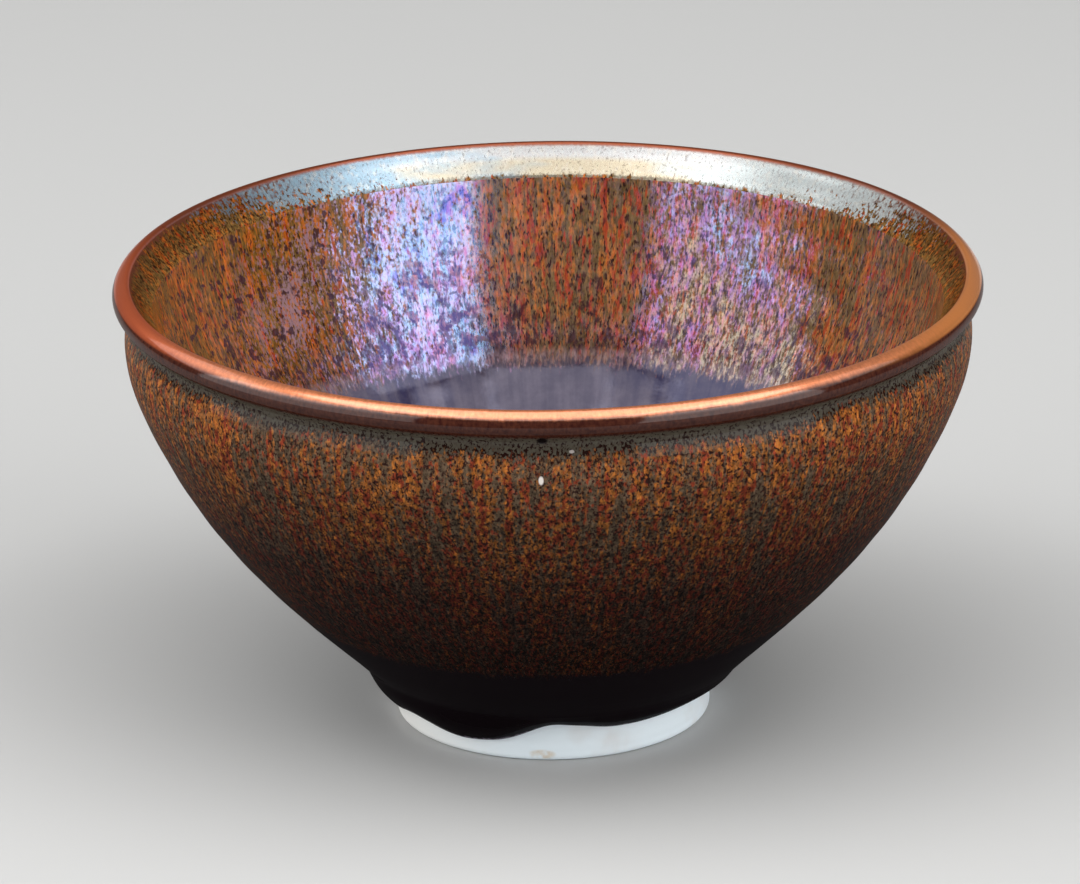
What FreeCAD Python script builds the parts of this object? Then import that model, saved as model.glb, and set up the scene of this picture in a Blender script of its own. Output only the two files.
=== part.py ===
import FreeCAD, Part
import os
from math import cos, radians, sin

# Tenmoku tea bowl: a thrown porcelain body under one fired coat of iron glaze.
# The origin is the centre of the foot ring on the table, and +Z is the bowl's axis.
# The thin coat on the wall belongs to the body that it is fused to. The rolled lip,
# the pool of glaze in the well and the roll of glaze above the foot are solids of
# their own, each seated on the body.
# The smooth outlines are turned as conical bands, which keeps the faces few.

# Driving sizes, in millimetres
rim_diameter = 122.0
bowl_height = 65.4
foot_diameter = 44.6

# Lip: a small bead over a groove that the thumb finds, bevelled towards the inside
lip_bead_width = 3.8
lip_bead_height = 4.4
lip_bevel_width = 2.65
lip_bevel_drop = 3.3
groove_depth = 0.85
groove_drop = 5.0

# Wall, measured from glazed face to glazed face
wall_thickness = 5.1

# Foot ring and the recess that is turned out inside it
foot_wall_height = 7.2
foot_ring_width = 5.6
foot_recess_depth = 5.0
foot_recess_draft = 1.0
foot_edge_ease = 0.5
floor_thickness = 5.9

# Glaze
well_edge_glaze = 1.20
well_glaze = 1.90
stop_line_height = 4.8
roll_burial = 1.6

rim_radius = rim_diameter / 2
foot_radius = foot_diameter / 2
floor_level = foot_recess_depth + floor_thickness
clay_floor_level = floor_level - well_glaze

# Outside of the wall, from over the roll up to under the groove, as shares of the way
# from the foot out to the rim, of the bowl height, and of the wall thickness.
wall_shares = (
    (0.300, 0.229, 1.22),
    (0.548, 0.382, 1.00),
    (0.738, 0.535, 1.00),
    (0.876, 0.688, 1.00),
    (0.950, 0.811, 0.95),
    (0.957, 0.866, 0.79),
)

# Where the roll of glaze ends on the wall, as the first two of those shares
roll_join_shares = (0.163, 0.153)

# The dish of the well from the lowest inside station to the centre, as shares of
# that station's radius and of its height above the centre.
well_shares = ((0.70, 0.46), (0.38, 0.125))

# How far round the clay's flat floor reaches under the pool, as a share of the foot
clay_floor_share = 0.70

# Number of turned bands along each stretch of the outline
flank_bands = 4
shoulder_bands = 3
neck_bands = 1
inner_bands = 2
well_bands = 4

# Turns round the lip bead's section, in degrees, that its bands run between
lip_turns = (-50, 0, 40, 90, 115)

# Height of the glaze stop line round the foot, as shares of its usual height. The
# first column is the turn from +X in degrees. The front is at 270.
stop_line_shares = (
    (0, 0.84),
    (24, 0.92),
    (48, 1.04),
    (72, 0.90),
    (96, 0.72),
    (120, 0.86),
    (144, 1.02),
    (166, 0.78),
    (184, 0.50),
    (200, 0.50),
    (214, 0.64),
    (226, 0.56),
    (237, 0.48),
    (248, 0.56),
    (257, 0.82),
    (267, 1.17),
    (277, 1.15),
    (287, 1.01),
    (296, 0.94),
    (308, 0.96),
    (322, 1.01),
    (342, 0.92),
)

# Section of the glaze roll, a cubic curve from the foot wall to the outer glaze. It
# leaves the foot nearly square and ends along the wall. Its two guide points lie these
# shares of the roll's width out from the foot and back down the wall.
roll_foot_share = 0.45
roll_lift_share = 0.05
roll_wall_share = 0.72
roll_bands = 5
roll_stations = 40


def at(radius, height, turn=0.0):
    """Point at a radius and height, turned about the axis by an angle in degrees."""
    angle = radians(turn)
    return FreeCAD.Vector(radius * cos(angle), radius * sin(angle), height)


def smooth(points):
    """Smooth curve through the points."""
    curve = Part.BSplineCurve()
    curve.interpolate(Points=points)
    return curve


def along(curve, point):
    """Unit direction in which the curve runs at a point on it."""
    return curve.tangent(curve.parameter(point))[0]


def inward(curve, point):
    """Unit direction from the glazed face into the clay, square to the curve."""
    run = along(curve, point)
    return FreeCAD.Vector(-run.z, 0, run.x)


def bands(curve, first, last, count):
    """Ends of the bands between two points of a curve, evenly spaced along it."""
    start = curve.parameter(first)
    end = curve.parameter(last)
    return curve.discretize(Number=count + 1, First=start, Last=end)


def revolve(points):
    """Solid turned once about the axis from a closed outline of straight runs."""
    face = Part.Face(Part.makePolygon(points + points[:1]))
    return face.revolve(FreeCAD.Vector(0, 0, 0), FreeCAD.Vector(0, 0, 1), 360)


def outside_curve():
    """Glazed outline up the outside, from the end of the roll to the groove."""
    flare = rim_radius - foot_radius
    shares = [roll_join_shares] + [(out, up) for out, up, wall in wall_shares]
    points = [at(foot_radius + flare * out, bowl_height * up) for out, up in shares]
    points.append(at(points[-1].x - groove_depth, bowl_height - groove_drop))
    return smooth(points), points


def inside_curve(outside, points):
    """Glazed outline down the inside, from the foot of the lip's bevel to the centre.

    Below the bevel it is set in from the outside by the wall.
    """
    bevel_foot = rim_radius - lip_bead_width / 2 - lip_bevel_width
    inner = [at(bevel_foot, bowl_height - lip_bevel_drop)]
    for point, (out, up, wall) in zip(points[-2:0:-1], reversed(wall_shares)):
        inner.append(point + inward(outside, point) * (wall_thickness * wall))
    edge = inner[-1]
    for out, up in well_shares:
        inner.append(at(edge.x * out, floor_level + (edge.z - floor_level) * up))
    inner.append(at(0, floor_level))
    return smooth(inner), inner


def lip_section():
    """Points round the lip bead, an ellipse in section, to where the bevel leaves it."""
    half_width = lip_bead_width / 2
    half_height = lip_bead_height / 2
    centre = at(rim_radius - half_width, bowl_height - half_height)
    return [
        centre + at(half_width * cos(radians(turn)), half_height * sin(radians(turn)))
        for turn in lip_turns
    ]


def outlines():
    """Outside curve, its stretches and the inside's, and the lip, dish and clay under it."""
    outside, outer = outside_curve()
    inside, inner = inside_curve(outside, outer)
    shoulder = outer[-3]
    rise = bands(outside, outer[0], shoulder, flank_bands)
    rise += bands(outside, shoulder, outer[-1], shoulder_bands)[1:]
    fall = bands(inside, inner[0], inner[2], neck_bands)
    fall += bands(inside, inner[2], inner[4], inner_bands)[1:]
    dish = bands(inside, inner[4], inner[-1], well_bands)
    lip = rise[-1:] + lip_section() + fall[:1]
    fall.append(dish.pop(1))
    dish[0] = fall[-1]
    dish_clay = [
        dish[0],
        dish[0] + inward(inside, dish[0]) * well_edge_glaze,
        at(foot_radius * clay_floor_share, clay_floor_level),
        at(0, clay_floor_level),
    ]
    return outside, rise, lip, fall, dish, dish_clay


def porcelain_body(rise, fall, dish_clay):
    """Coated wall on its bare turned foot ring, closed down the axis."""
    recess = foot_radius - foot_ring_width
    foot = [
        at(0, foot_recess_depth),
        at(recess - foot_recess_draft, foot_recess_depth),
        at(recess, foot_edge_ease),
        at(recess + foot_edge_ease, 0),
        at(foot_radius - foot_edge_ease, 0),
        at(foot_radius, foot_edge_ease),
        at(foot_radius, foot_wall_height),
    ]
    return revolve(foot + rise + fall + dish_clay[1:])


def stop_height(turn):
    """Height of the wavy stop line at a turn, eased between the given heights."""
    rows = stop_line_shares + ((stop_line_shares[0][0] + 360, stop_line_shares[0][1]),)
    for (left, low), (right, high) in zip(rows, rows[1:]):
        if left <= turn <= right:
            step = (turn - left) / (right - left)
            return stop_line_height * (low + (high - low) * step * step * (3 - 2 * step))


def roll_section(outside, join, turn):
    """Closed outline of the roll at a turn, from inside the foot to the join."""
    stop = stop_height(turn)
    width = join.x - foot_radius
    low = at(foot_radius, stop)
    guide = at(foot_radius + width * roll_foot_share, stop + (join.z - stop) * roll_lift_share)
    high = join - along(outside, join) * width * roll_wall_share
    points = [at(foot_radius - roll_burial, stop)]
    for band in range(roll_bands + 1):
        t = band / roll_bands
        near = low * (1 - t) ** 3 + guide * (3 * t * (1 - t) ** 2)
        points.append(near + high * (3 * t * t * (1 - t)) + join * t ** 3)
    points.append(at(foot_radius - roll_burial, join.z))
    return Part.makePolygon([at(p.x, p.z, turn) for p in points + points[:1]])


def foot_glaze_roll(outside, join, body):
    """Thick roll of glaze in the angle above the foot, ending at the wavy stop line.

    A ring of sections is lofted round the foot. The lower end of each follows the
    stop line, and the upper end runs along the wall, so the roll flows out of the
    coat above it. What lies in the body is then cut away.
    """
    turns = [360 * station / roll_stations for station in range(roll_stations)]
    sections = [roll_section(outside, join, turn) for turn in turns]
    return Part.makeLoft(sections, True, True, True).cut(body)


def main():
    outside, rise, lip, fall, dish, dish_clay = outlines()
    body = porcelain_body(rise, fall, dish_clay)
    pieces = {
        "porcelain_body": body,
        "rolled_lip": revolve(lip),
        "well_glaze": revolve(dish + dish_clay[:0:-1]),
        "foot_glaze_roll": foot_glaze_roll(outside, rise[0], body),
    }
    os.makedirs("parts", exist_ok=True)
    for name, shape in pieces.items():
        shape.exportStep("parts/" + name + ".step")
        print(name, len(shape.Solids), shape.isValid(), round(shape.Volume, 1), shape.BoundBox)


main()
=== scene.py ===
import bpy
import numpy as np
from mathutils import Matrix, Vector


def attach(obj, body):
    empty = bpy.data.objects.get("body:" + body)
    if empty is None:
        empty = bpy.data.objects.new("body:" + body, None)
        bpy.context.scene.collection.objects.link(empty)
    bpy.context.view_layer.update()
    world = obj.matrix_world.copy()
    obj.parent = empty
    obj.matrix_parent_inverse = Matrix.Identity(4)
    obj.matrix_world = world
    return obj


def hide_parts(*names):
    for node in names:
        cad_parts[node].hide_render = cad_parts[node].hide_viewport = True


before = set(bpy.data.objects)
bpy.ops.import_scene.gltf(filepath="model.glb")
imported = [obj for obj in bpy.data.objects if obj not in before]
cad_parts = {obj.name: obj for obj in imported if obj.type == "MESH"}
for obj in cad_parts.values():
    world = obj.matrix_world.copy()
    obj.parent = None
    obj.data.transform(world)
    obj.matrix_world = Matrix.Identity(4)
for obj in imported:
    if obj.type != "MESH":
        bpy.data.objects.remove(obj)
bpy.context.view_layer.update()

# Tenmoku tea bowl. Lengths are in millimetres until they reach a mesh, lamp or camera.
MM = 0.001

# ---------- outline of the bowl
# Radius and height of the glazed face, up the outside from the roll above the foot.
OUTER_STATIONS = (
    (28.55, 9.9), (33.9, 15.0), (38.9, 20.0), (43.45, 25.0), (50.87, 35.0), (56.2, 45.0),
    (59.0, 53.0), (59.32, 56.6), (58.85, 59.0), (58.5, 60.3),
)
# Round the lip, from the groove over the crest, down the bevel and over its lower edge.
LIP_STATIONS = (
    (58.95, 61.0), (59.65, 61.6), (60.42, 62.2), (60.84, 63.1), (60.6, 64.0), (60.1, 64.66),
    (59.5, 65.14), (58.98, 65.3), (58.58, 65.02), (57.95, 64.22), (57.2, 63.3), (56.4, 62.32),
    (55.85, 61.65), (55.5, 61.22), (55.34, 60.9), (55.22, 60.4),
)
BEVEL_EDGE = (55.33, 60.88)   # lower edge of the bevel inside the lip
# Down the inside to the edge of the pool, and across the pool to the centre.
INNER_STATIONS = (
    (54.75, 58.3), (54.0, 55.3), (53.1, 52.2), (52.0, 49.1), (50.45, 45.2), (48.45, 41.0),
    (45.95, 36.8), (43.2, 32.7), (40.0, 28.8), (37.0, 25.6),
)
POOL_STATIONS = (
    (32.9, 21.85), (28.8, 18.95), (24.4, 16.6), (19.8, 14.6), (15.0, 13.0), (10.0, 11.75),
    (5.0, 11.1), (0.0, 10.9),
)
# Bare foot, from the centre of its recess round the ring and up under the glaze.
FOOT_STATIONS = (
    (0.0, 4.95), (9.0, 4.98), (14.4, 5.05), (15.3, 4.75), (15.75, 4.0), (16.2, 2.4),
    (16.55, 0.75), (16.85, 0.2), (17.4, 0.0), (19.4, 0.0), (21.5, 0.0), (22.0, 0.12),
    (22.24, 0.5), (22.3, 1.2), (22.3, 4.5), (22.3, 8.0),
)
# Heights of the wavy line where the glaze stops on the foot, by the turn in degrees
# from +X. The front of the bowl is at 270.
STOP_LINE = (
    (0, 4.0), (24, 4.4), (48, 5.0), (72, 4.3), (96, 3.5), (120, 4.1), (144, 4.9), (166, 3.7),
    (184, 2.4), (196, 2.1), (206, 2.8), (214, 3.1), (225, 2.75), (235, 2.33), (243, 2.5),
    (251, 3.0), (258, 3.95), (264, 5.0), (269, 5.62), (275, 5.55), (282, 5.2), (289, 4.75),
    (295, 4.62), (299, 4.6), (306, 4.63), (313, 4.7), (321, 4.8), (331, 4.7), (342, 4.3),
)
# Roll of glaze above the foot. Its face first rises from the stop line to its waist,
# given as the share of the way up and the radius. It then lies on the outside coat, given
# as the run up the coat and how proud of it the roll is, and last sinks into it.
ROLL_RISE = ((0.0, 22.15), (0.02, 22.75), (0.12, 23.6), (0.33, 24.85), (0.62, 26.1), (1.0, 27.3))
ROLL_WAIST = 8.5
ROLL_TAIL = ((0.0, 0.06), (1.0, 0.03), (2.2, 0.0), (3.6, -0.12))
ROLL_LAYOUT = 5      # rise from stop line to waist at which the section is laid out
# Radius and height of its hidden back. The last radius also closes it behind the stop line.
ROLL_BACK = ((27.0, 12.2), (21.6, 9.0))
BEHIND_STOP = 0.1    # how far over the stop line the back closes
NO_MARGIN = 9        # given to the back as its rise over the stop line, so it stays black

FLOW_RADIUS = 60.0   # the glaze pattern is laid out round a cylinder of this radius
HEART = 2.2          # how deep under the glazed face the hidden side of a skin lies
EDGE_STEP = 0.03     # share of a step at which an edge gets one more station
FOOT_CAP = 8.0       # height at which the bare foot is closed under the glaze
FOOT_INSET = 0.02    # the bare foot's face lies this far inside its stations

# Spacing of the points on the outlines. Of them a coat keeps every 11th and the lip
# every 4th, and a hidden side keeps every 8th of its glazed face's.
OUTLINE_SPACING, FOOT_SPACING, LINE_SPACING = 0.05, 0.22, 0.5
COAT_STEP, LIP_STEP, HIDDEN_STEP = 11, 4, 8
TURNS, ROLL_TURNS, FOOT_TURNS = 560, 480, 360

# Rings that the thrower's fingers left. Their rate is in radians a millimetre. They and
# the swell of the wall fade out towards the edges of a coat.
OUTER_RINGS = dict(depth=0.03, rate=0.9, sway=0.6, seed=3, counts=(1, 2, 3))
INNER_RINGS = dict(depth=0.045, rate=0.8, sway=0.8, seed=7, counts=(1, 2, 4))
RINGS_DEEPEST, RINGS_REACH = 34, 22   # runs from the crest, on the outside
SWELL_DEPTH, SWELL_RATE = 0.035, 0.31
OUTER_FADE, INNER_FADE = 5, 6
ROLL_SWELL = 0.12
# Grooves of the turning tool, where the foot lies beyond the given radius
GROOVE_DEPTH, GROOVE_RATE, GROOVES_BEYOND = 0.015, 4.1, 20


def natural_spline(stations, spacing):
    """Points and run along the natural cubic spline through the stations.

    The curve's parameter is the summed chord length. Its second derivatives m solve
    the tridiagonal system h0 m0 + 2 (h0 + h1) m1 + h1 m2 = 6 (slope1 - slope0), with
    m = 0 at both ends. The points come back evenly spaced along the curve.
    """
    knots = np.array(stations, float)
    chord = np.hypot(*np.diff(knots, axis=0).T)
    at = np.concatenate([[0.0], np.cumsum(chord)])
    slope = np.diff(knots, axis=0) / chord[:, None]
    size = len(knots)
    system = np.eye(size)
    inner = np.arange(1, size - 1)
    system[inner, inner - 1] = chord[:-1]
    system[inner, inner] = 2 * (chord[:-1] + chord[1:])
    system[inner, inner + 1] = chord[1:]
    wanted = np.zeros((size, 2))
    wanted[1:-1] = 6 * np.diff(slope, axis=0)
    bend = np.linalg.solve(system, wanted)

    def position(t):
        i = np.clip(np.searchsorted(at, t, side="right") - 1, 0, size - 2)
        h = chord[i][:, None]
        left = (at[i + 1] - t)[:, None]
        right = (t - at[i])[:, None]
        return (
            (bend[i] * left**3 + bend[i + 1] * right**3) / (6 * h)
            + (knots[i] / h - bend[i] * h / 6) * left
            + (knots[i + 1] / h - bend[i + 1] * h / 6) * right
        )

    fine = position(np.linspace(0, at[-1], 4000))
    run = np.concatenate([[0.0], np.cumsum(np.hypot(*np.diff(fine, axis=0).T))])
    count = max(2, int(round(run[-1] / spacing)) + 1)
    even = np.linspace(0, run[-1], count)
    return np.stack([np.interp(even, run, fine[:, axis]) for axis in (0, 1)], 1), even


def sides(points):
    """Unit vectors square to an outline, to its left as it runs."""
    along = np.gradient(points, axis=0)
    along /= np.hypot(*along.T)[:, None]
    return np.stack([-along[:, 1], along[:, 0]], 1)


def turns_round(count):
    """Evenly spaced turns about the axis, in radians from +X."""
    return np.arange(count) * (2 * np.pi / count)


def wave(turn, seed, counts):
    """Sum of cosines of whole counts round the bowl, of seeded size and phase, within 1."""
    rng = np.random.default_rng(seed)
    total = np.zeros_like(turn)
    for count in counts:
        total += rng.uniform(0.5, 1.0) * np.cos(count * turn + rng.uniform(0, 2 * np.pi))
    return total / len(counts)


def finger_rings(run, turn, depth, rate, sway, seed, counts):
    """Faint rings: depth times the sine of rate times the run, swaying round the bowl."""
    return depth * np.sin(run[:, None] * rate + sway * wave(turn, seed, counts))


def faded(run, reach):
    """Factor that is 0 at both ends of a run, and 1 past the reach from each."""
    along = run[:, None]
    return np.clip((along - run.min()) / reach, 0, 1) * np.clip((run.max() - along) / reach, 0, 1)


def round_about(name, radius, height, run, poles=False):
    """Mesh of a surface given as radius and height over (station, turn).

    A point is (radius cos turn, radius sin turn, height). The turns close on
    themselves. The stations close on themselves too, unless the ends are poles, each of
    which becomes one vertex. Each vertex keeps its place in the glaze's flow: a vector
    with its turn laid out on a cylinder, and its run along the outline from the crest.
    """
    rows, turns = radius.shape
    turn = turns_round(turns)
    ring = np.stack([radius * np.cos(turn), radius * np.sin(turn), height], -1)
    laid = [FLOW_RADIUS * np.cos(turn) + 0 * radius, FLOW_RADIUS * np.sin(turn) + 0 * radius]
    flow = np.stack([*laid, run + 0 * radius], -1)
    first, last = int(poles), rows - int(poles)
    points = ring[first:last].reshape(-1, 3)
    flows = flow[first:last].reshape(-1, 3)
    here = np.arange(turns)
    there = (here + 1) % turns
    low = np.arange(last - first - 1)[:, None] * turns
    quads = np.stack([low + here, low + there, low + turns + there, low + turns + here], -1)
    quads = quads.reshape(-1, 4)
    end = (last - first - 1) * turns
    if poles:
        start_pole, end_pole = np.full(turns, len(points)), np.full(turns, len(points) + 1)
        points = np.concatenate([points, [[0, 0, height[row].mean()] for row in (0, -1)]])
        flows = np.concatenate([flows, [[0, 0, run[row].mean()] for row in (0, -1)]])
        closing = np.concatenate([
            np.stack([start_pole, there, here], -1),
            np.stack([end + here, end + there, end_pole], -1),
        ])
    else:
        closing = np.stack([end + here, end + there, there, here], -1)
    faces = quads.tolist() + closing.tolist()
    mesh = bpy.data.meshes.new(name)
    mesh.from_pydata((points * MM).tolist(), [], faces)
    mesh.polygons.foreach_set("use_smooth", np.ones(len(faces), bool))
    place = mesh.attributes.new("flow", "FLOAT_VECTOR", "POINT")
    place.data.foreach_set("vector", flows.astype(np.float32).ravel())
    mesh.update()
    piece = bpy.data.objects.new(name, mesh)
    bpy.context.scene.collection.objects.link(piece)
    return piece


def edge_step(values):
    """The values with one more close to the first, which keeps the light even up to that edge."""
    return np.insert(values, 1, (1 - EDGE_STEP) * values[0] + EDGE_STEP * values[1], 0)


def skin(name, points, run, ripple=None):
    """Closed skin of a turned outline: the glazed face, and a hidden side a little under it.

    The hidden side is the same outline moved to its left by HEART, run backwards, so
    the section is a closed loop. The ripple moves the glazed face square to itself.
    """
    points, run = (edge_step(edge_step(values)[::-1])[::-1] for values in (points, run))
    square = sides(points)
    hidden = points + square * HEART
    face = np.repeat(points[:, None, :], TURNS, 1)
    if ripple is not None:
        ripple = np.pad(ripple, ((1, 1), (0, 0)), "edge")
        face = face - square[:, None, :] * ripple[..., None]
    back = np.repeat(hidden[::-HIDDEN_STEP, None, :], TURNS, 1)
    section = np.concatenate([face, back])
    runs = np.concatenate([run, run[::-HIDDEN_STEP]])[:, None]
    return round_about(name, section[..., 0], section[..., 1], runs)


# One smooth outline over the whole bowl, cut into the zones of the glaze
whole, whole_run = natural_spline(
    OUTER_STATIONS + LIP_STATIONS + INNER_STATIONS + POOL_STATIONS, OUTLINE_SPACING
)
crest = int(np.argmax(whole[:, 1]))
run_from_crest = whole_run[crest] - whole_run


def nearest(station):
    """Index of the outline's point nearest a station."""
    return int(np.argmin(np.hypot(*(whole - np.array(station)).T)))


def run_at(height, outside=False):
    """Run from the crest to where the outside or the inside outline passes a height."""
    part = slice(0, crest) if outside else slice(crest, len(whole))
    return float(run_from_crest[part][np.argmin(np.abs(whole[part, 1] - height))])


def stretch(first, last, step):
    """Every step-th point of the outline between two cuts, ends included, with its run."""
    picked = np.unique(np.append(np.arange(first, last, step), last))
    return whole[picked], run_from_crest[picked]


cut_groove = nearest(OUTER_STATIONS[-1])
cut_neck = nearest(BEVEL_EDGE)
cut_pool = nearest(INNER_STATIONS[-1])
turn = turns_round(TURNS)

# Outside coat, with rings that are deepest half way down, and a broad swell under them
points, run = stretch(0, cut_groove, COAT_STEP)
rings = finger_rings(run, turn, **OUTER_RINGS)
rings = rings * np.exp(-((run[:, None] - RINGS_DEEPEST) / RINGS_REACH) ** 2)
swell = SWELL_DEPTH * wave(turn, 4, (2, 3, 5)) * np.sin(run[:, None] * SWELL_RATE)
outer_coat = skin("outer_coat", points, run, (rings + swell) * faded(run, OUTER_FADE))

# Rolled lip
points, run = stretch(cut_groove, cut_neck, LIP_STEP)
rolled_lip = skin("lip_glaze", points, run)

# Inside coat
points, run = stretch(cut_neck, cut_pool, COAT_STEP)
rings = finger_rings(run, turn, **INNER_RINGS)
inner_coat = skin("inner_coat", points, run, rings * faded(run, INNER_FADE))

# Pool in the well: the glazed face from the centre out, and back under it to the axis
points, run = (edge_step(values) for values in stretch(cut_pool, len(whole) - 1, COAT_STEP))
under = [points[0] - [0, HEART], [0, points[-1, 1] - HEART]]
face = np.concatenate([points[::-1], under])
face_run = np.concatenate([run[::-1], run[:1], run[-1:]])[:, None]
spread = np.repeat(face[:, None, :], TURNS, 1)
well_pool = round_about("well_pool", spread[..., 0], spread[..., 1], face_run, poles=True)

# Roll of glaze above the foot: the laid-out section, stretched at each turn to the rise
# from the stop line there, with a faint swell round the foot
roll_turn = turns_round(ROLL_TURNS)
line = np.array(STOP_LINE, float)
around = np.concatenate([line[:, 0] - 360, line[:, 0], line[:, 0] + 360])
stops, _ = natural_spline(np.stack([around, np.tile(line[:, 1], 3)], 1), LINE_SPACING)
stop = np.interp(np.degrees(roll_turn), stops[:, 0], stops[:, 1])
tail_run, tail_proud = np.array(ROLL_TAIL).T
tail_at = np.searchsorted(whole_run, tail_run)
tail = whole[tail_at] - sides(whole)[tail_at] * tail_proud[:, None]
rise = [(radius, share * ROLL_LAYOUT) for share, radius in ROLL_RISE]
tail = [(radius, height - ROLL_WAIST + ROLL_LAYOUT) for radius, height in tail]
section, _ = natural_spline(rise + tail, FOOT_SPACING)
share = np.clip(section[:, 1] / ROLL_LAYOUT, 0, 1)[:, None]
past = np.clip(section[:, 1] - ROLL_LAYOUT, 0, None)[:, None]
roll_height = stop + share * (ROLL_WAIST - stop) + past
swell = ROLL_SWELL * np.sin(np.pi * share) * wave(roll_turn, 11, (2, 5, 7, 11))
roll_radius = section[:, :1] + swell
back = np.array(ROLL_BACK)
back_radius = np.repeat(np.append(back[:, 0], back[-1, 0])[:, None], ROLL_TURNS, 1)
back_height = np.concatenate([np.repeat(back[:, 1:], ROLL_TURNS, 1), [stop + BEHIND_STOP]])
glaze_roll = round_about(
    "glaze_roll",
    np.concatenate([roll_radius, back_radius]),
    np.concatenate([roll_height, back_height]),
    np.concatenate([roll_height - stop, np.full(back_height.shape, NO_MARGIN)]),
)

# Bare foot, with the faint grooves of the turning tool on the outside of its ring
foot, foot_run = natural_spline(FOOT_STATIONS, FOOT_SPACING)
foot = np.concatenate([np.clip(foot, 0, None), [[0, FOOT_CAP]]])
foot_run = np.append(foot_run, foot_run[-1])[:, None]
spread = np.repeat(foot[:, None, :], FOOT_TURNS, 1)
sway = 0.5 * wave(turns_round(FOOT_TURNS), 21, (1, 2, 3))
grooves = GROOVE_DEPTH * np.sin(foot[:, 1:] * GROOVE_RATE + sway)
grooves = grooves * (foot[:, :1] > GROOVES_BEYOND)
bare_foot = round_about(
    "bare_foot", spread[..., 0] + grooves - FOOT_INSET, spread[..., 1], foot_run, poles=True
)


# ---------- node tree helpers
def paint(red, green, blue):
    """Linear colour of a glaze tone that is given as display values from 0 to 255."""
    shown = np.array([red, green, blue]) / 255
    linear = np.where(shown <= 0.04045, shown / 12.92, ((shown + 0.055) / 1.055) ** 2.4)
    return (*linear.tolist(), 1.0)


def fill(tree, socket, value):
    """Links an output to a socket, or sets the socket to a plain value."""
    if isinstance(value, bpy.types.NodeSocket):
        tree.links.new(value, socket)
    else:
        socket.default_value = value


def add(tree, kind, inputs=None, **settings):
    """New node with its settings, and with its sockets filled."""
    node = tree.nodes.new("ShaderNode" + kind)
    for name, value in settings.items():
        setattr(node, name, value)
    for name, value in (inputs or {}).items():
        fill(tree, node.inputs[name], value)
    return node


def wire(tree, node, **inputs):
    """Fills a node's sockets. Underscores stand for spaces."""
    for label, value in inputs.items():
        fill(tree, node.inputs[label.replace("_", " ")], value)


def calc(tree, operation, first, second=0.5, third=0.5, clamp=False):
    """Output of a Math node."""
    inputs = {0: first, 1: second, 2: third}
    return add(tree, "Math", inputs, operation=operation, use_clamp=clamp).outputs[0]


def line_of(tree, value, slope, start, clamp=False):
    """The value times the slope, plus the start."""
    return calc(tree, "MULTIPLY_ADD", value, slope, start, clamp)


def total(tree, start, *parts):
    """The start plus each value times its weight."""
    for value, weight in parts:
        start = line_of(tree, value, weight, start)
    return start


def times(tree, first, *others):
    """Product of the values."""
    for other in others:
        first = calc(tree, "MULTIPLY", first, other)
    return first


def minus(tree, first, second):
    """First less the second."""
    return calc(tree, "SUBTRACT", first, second)


def rest_of(tree, share):
    """What a share leaves of 1."""
    return minus(tree, 1.0, share)


def larger(tree, first, second):
    """The larger of two values."""
    return calc(tree, "MAXIMUM", first, second)


def size_of(tree, value):
    """The value without its sign."""
    return calc(tree, "ABSOLUTE", value)


def calc_vector(tree, operation, first, second=(0.0, 0.0, 0.0)):
    """Output of a Vector Math node: a number for a length, and a vector for the others."""
    node = add(tree, "VectorMath", {0: first, 1: second}, operation=operation)
    return node.outputs["Value" if operation == "LENGTH" else "Vector"]


def axes(tree, vector):
    """The x, y and z of a vector."""
    return add(tree, "SeparateXYZ", {0: vector}).outputs


def mix(tree, share, first, second, kind="MIX"):
    """Colour between the first and the second, by a share from 0 to 1."""
    inputs = {0: share, 6: first, 7: second}
    return add(tree, "Mix", inputs, data_type="RGBA", blend_type=kind).outputs[2]


def tint(tree, colour, by):
    """Colour multiplied by another, or by a value."""
    return mix(tree, 1.0, colour, by, "MULTIPLY")


def mix_value(tree, share, first, second):
    """Number between the first and the second, by a share from 0 to 1."""
    inputs = {0: share, 2: first, 3: second}
    return add(tree, "Mix", inputs, data_type="FLOAT").outputs[0]


def between(tree, value, low, high):
    """Smooth step of a value: 0 at low, 1 at high, and low may lie above high."""
    inputs = {"Value": value, "From Min": low, "From Max": high}
    return add(tree, "MapRange", inputs, interpolation_type="SMOOTHSTEP").outputs[0]


def ramp(tree, value, stops):
    """Colour of a ramp of (place from 0 to 1, colour) stops."""
    node = add(tree, "ValToRGB", {"Fac": value})
    band = node.color_ramp
    for extra in range(len(stops) - 2):
        band.elements.new(0.5)
    for element, (place, colour) in zip(band.elements, stops):
        element.position = place
        element.color = colour
    return node.outputs[0]


def clouds(tree, vector, scale, detail, roughness=0.5):
    """Value of a cloudy noise, which keeps near its middle, 0.5."""
    inputs = {"Vector": vector, "Scale": scale, "Detail": detail, "Roughness": roughness}
    return add(tree, "TexNoise", inputs).outputs["Fac"]


def bump(tree, height, strength, distance):
    """Normal output of a Bump node."""
    inputs = {"Height": height, "Strength": strength, "Distance": distance * MM}
    return add(tree, "Bump", inputs).outputs[0]


def group(name, inputs, outputs):
    """Empty shader node group. Returns its tree, its given values and its output node.

    An input's default also says what it is: None is a vector, a number is a value, and
    four numbers are a colour.
    """
    tree = bpy.data.node_groups.new(name, "ShaderNodeTree")
    for label, default in inputs.items():
        kind = {type(None): "Vector", tuple: "Color"}.get(type(default), "Float")
        socket = tree.interface.new_socket(
            label, in_out="INPUT", socket_type="NodeSocket" + kind
        )
        if default is not None:
            socket.default_value = default
    for label, kind in outputs.items():
        tree.interface.new_socket(label, in_out="OUTPUT", socket_type="NodeSocket" + kind)
    return tree, tree.nodes.new("NodeGroupInput").outputs, tree.nodes.new("NodeGroupOutput")


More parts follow.
